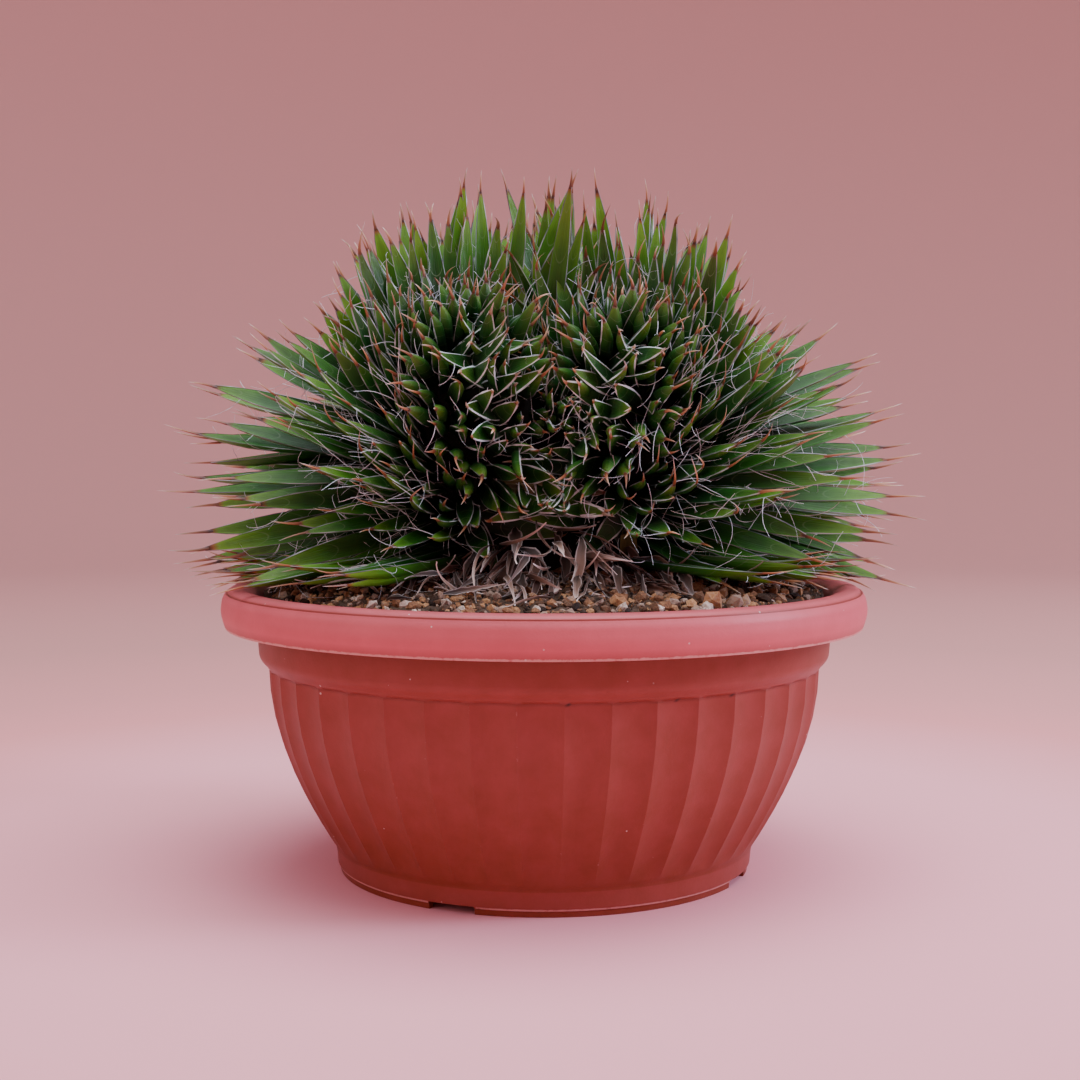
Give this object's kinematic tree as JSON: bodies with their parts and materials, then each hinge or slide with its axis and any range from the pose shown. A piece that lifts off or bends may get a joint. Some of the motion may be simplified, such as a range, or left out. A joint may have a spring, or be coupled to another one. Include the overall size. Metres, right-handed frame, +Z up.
{
  "type": "potted crested agave",
  "caption": "Crested agave with a heart-shaped growing line and short spine-tipped leaves, rooted in gritty soil in a fluted terracotta-coloured plastic bowl.",
  "frame": {"origin": "on the pot's axis, at the surface that the pot's foot ring stands on", "axes": "+Z up; -Y is the front, where the head's growing line shows; +X to the right when seen from the front"},
  "size_m": [0.2939, 0.253, 0.2747],
  "materials": {
    "pot_plastic": "satin moulded, lightly scuffed at the rim and the foot",
    "soil": "loose grit, rough",
    "leaf": "waxy satin skin",
    "dried_leaf": "dry and fibrous"
  },
  "bodies": {
    "root": {"pot": "pot_plastic", "soil": "soil", "crested_agave": "leaf", "dried_leaves": "dried_leaf"}
  },
  "joints": []
}
